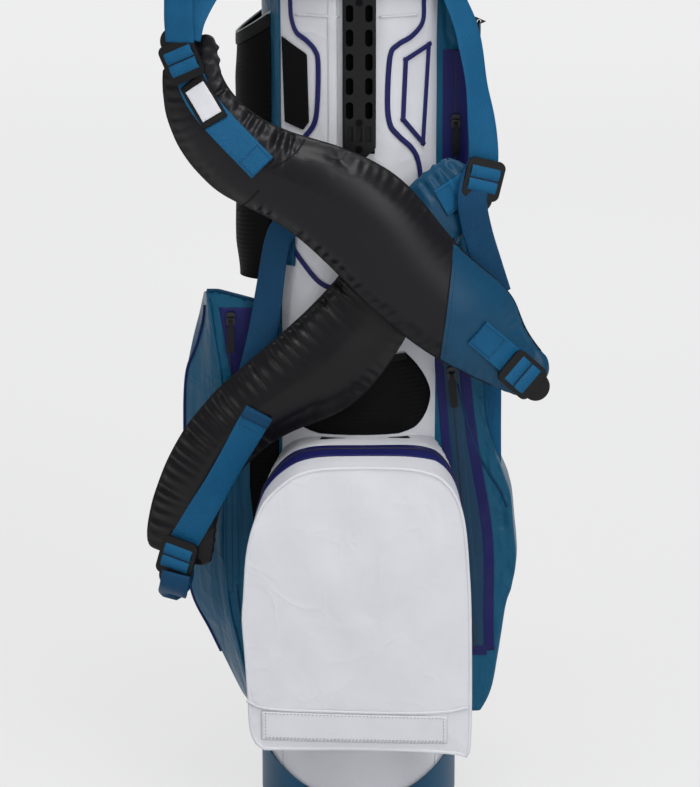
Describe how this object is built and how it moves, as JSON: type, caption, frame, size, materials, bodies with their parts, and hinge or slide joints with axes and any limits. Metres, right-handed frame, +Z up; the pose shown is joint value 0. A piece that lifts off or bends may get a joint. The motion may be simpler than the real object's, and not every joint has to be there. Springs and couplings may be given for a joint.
{
  "type": "golf stand bag",
  "caption": "Upright golf stand bag with zipped pockets, crossed padded shoulder straps, a divided mouth and a pair of folding rear legs worked by a foot lever in the base.",
  "frame": {"origin": "centre of the base's underside, on the axis of the bag's tube", "axes": "+Z up along the tube, -Y the front with the spine rail and ball pocket, +X to the right seen from the front"},
  "size_m": [0.4058, 0.3218, 0.905],
  "materials": {
    "white_fabric": "coated fabric, satin",
    "teal_fabric": "coated fabric, satin",
    "navy_tape": "sealed seam tape",
    "black_padding": "coated ripstop over foam",
    "black_mesh": "knitted mesh",
    "webbing": "woven webbing",
    "black_plastic": "moulded nylon, fine texture",
    "divider_cloth": "brushed lining",
    "stay_fibre": "pultruded glass fibre",
    "leg_metal": "satin anodised",
    "steel": "blackened or plated steel",
    "rubber": "moulded rubber"
  },
  "bodies": {
    "bag": {"back_panel": "teal_fabric", "ball_pocket": "white_fabric", "base_cup": "teal_fabric", "bottle_sleeve": "black_mesh", "bracket_screws": "steel", "collar_handle": "black_plastic", "divider_cross": "black_plastic", "divider_sheets": "divider_cloth", "front_panel": "white_fabric", "glove_patch": "black_mesh", "inner_low_lock": "black_plastic", "inner_low_strap": "webbing", "inner_pad": "black_padding", "inner_pad_webbing": "webbing", "inner_top_lock": "black_plastic", "inner_top_strap": "webbing", "left_panel": "teal_fabric", "left_pocket": "teal_fabric", "leg_bracket": "black_plastic", "leg_pins": "steel", "lever_pin": "steel", "outer_low_lock": "black_plastic", "outer_low_strap": "webbing", "outer_pad": "black_padding", "outer_pad_webbing": "webbing", "outer_top_lock": "black_plastic", "outer_top_strap": "webbing", "padded_cuff": "black_padding", "rail_screws": "steel", "right_panel": "teal_fabric", "right_pocket": "teal_fabric", "ring_tab": "black_mesh", "slip_pocket": "black_mesh", "spine_rail": "black_plastic", "stay_rods": "stay_fibre", "strap_anchors": "webbing", "top_collar": "black_plastic", "zip_tapes": "navy_tape"},
    "left_leg": {"left_leg_knuckle": "black_plastic", "left_leg_tube": "leg_metal", "left_leg_foot": "rubber", "left_rod_collar": "black_plastic"},
    "left_rod_body": {"left_rod": "steel"},
    "right_leg": {"right_leg_knuckle": "black_plastic", "right_leg_tube": "leg_metal", "right_leg_foot": "rubber", "right_rod_collar": "black_plastic"},
    "right_rod_body": {"right_rod": "steel"},
    "lever": {"foot_lever": "black_plastic", "lever_tread": "rubber"},
    "upper_zip_slider": {"upper_slider": "steel"},
    "upper_zip_pull": {"upper_pull": "black_plastic"},
    "right_zip_slider": {"right_slider": "steel"},
    "right_zip_pull": {"right_pull": "black_plastic"},
    "left_zip_slider": {"left_slider": "steel"},
    "left_zip_pull": {"left_pull": "black_plastic"},
    "ball_zip_slider": {"ball_slider": "steel"},
    "ball_zip_pull": {"ball_pull": "black_plastic"},
    "ring": {"towel_ring": "steel"}
  },
  "joints": [
    {"name": "left_leg_swing", "type": "hinge", "parent": "bag", "child": "left_leg", "pos_m": [-0.053, 0.10003, 0.838], "axis": [0.9397, 0.342, 0], "range_deg": [0, 28], "stiffness_Nm_per_rad": 1.2, "springref_deg": -17.19},
    {"name": "left_rod_swing", "type": "hinge", "parent": "left_leg", "child": "left_rod_body", "pos_m": [-0.05984, 0.11882, 0.728], "axis": [0.9397, 0.342, 0], "range_deg": [-32.56, 0]},
    {"name": "right_leg_swing", "type": "hinge", "parent": "bag", "child": "right_leg", "pos_m": [0.053, 0.10003, 0.838], "axis": [0.9397, -0.342, 0], "range_deg": [0, 28]},
    {"name": "right_rod_swing", "type": "hinge", "parent": "right_leg", "child": "right_rod_body", "pos_m": [0.05984, 0.11882, 0.728], "axis": [0.9397, -0.342, 0], "range_deg": [-32.56, 0]},
    {"name": "lever_tilt", "type": "hinge", "parent": "bag", "child": "lever", "pos_m": [0, 0.054, 0.014], "axis": [1, 0, 0], "range_deg": [0, 17.97]},
    {"name": "upper_zip_slide", "type": "slide", "parent": "bag", "child": "upper_zip_slider", "axis": [0, 0, 1], "range_m": [0, 0.07]},
    {"name": "upper_pull_swing", "type": "hinge", "parent": "upper_zip_slider", "child": "upper_zip_pull", "pos_m": [0.096, -0.0679, 0.714], "axis": [-1, 0, 0], "range_deg": [0, 150]},
    {"name": "right_zip_slide", "type": "slide", "parent": "bag", "child": "right_zip_slider", "axis": [0.0896, 0, -0.996], "range_m": [0, 0.245]},
    {"name": "right_pull_swing", "type": "hinge", "parent": "right_zip_slider", "child": "right_zip_pull", "pos_m": [0.09353, -0.0679, 0.45748], "axis": [-0.996, 0, -0.0896], "range_deg": [0, 150]},
    {"name": "left_zip_slide", "type": "slide", "parent": "bag", "child": "left_zip_slider", "axis": [0, 0, -1], "range_m": [0, 0.255]},
    {"name": "left_pull_swing", "type": "hinge", "parent": "left_zip_slider", "child": "left_zip_pull", "pos_m": [-0.129, -0.0639, 0.513], "axis": [-1, 0, 0], "range_deg": [0, 150]},
    {"name": "ball_zip_slide", "type": "slide", "parent": "bag", "child": "ball_zip_slider", "axis": [0, 0, 1], "range_m": [0, 0.11]},
    {"name": "ball_pull_swing", "type": "hinge", "parent": "ball_zip_slider", "child": "ball_zip_pull", "pos_m": [-0.1096, -0.1313, 0.176], "axis": [0.342, 0.9397, 0], "range_deg": [0, 150]},
    {"name": "ring_swing", "type": "hinge", "parent": "bag", "child": "ring", "pos_m": [0.121, 0.0095, 0.805], "axis": [0, -1, 0], "range_deg": [-20, 70]}
  ],
  "couplings": [
    {"joint": "right_leg_swing", "follows": "left_leg_swing", "ratio": 1},
    {"joint": "left_rod_swing", "follows": "left_leg_swing", "ratio": -1.1555},
    {"joint": "right_rod_swing", "follows": "left_leg_swing", "ratio": -1.1555},
    {"joint": "lever_tilt", "follows": "left_leg_swing", "ratio": 0.64}
  ]
}
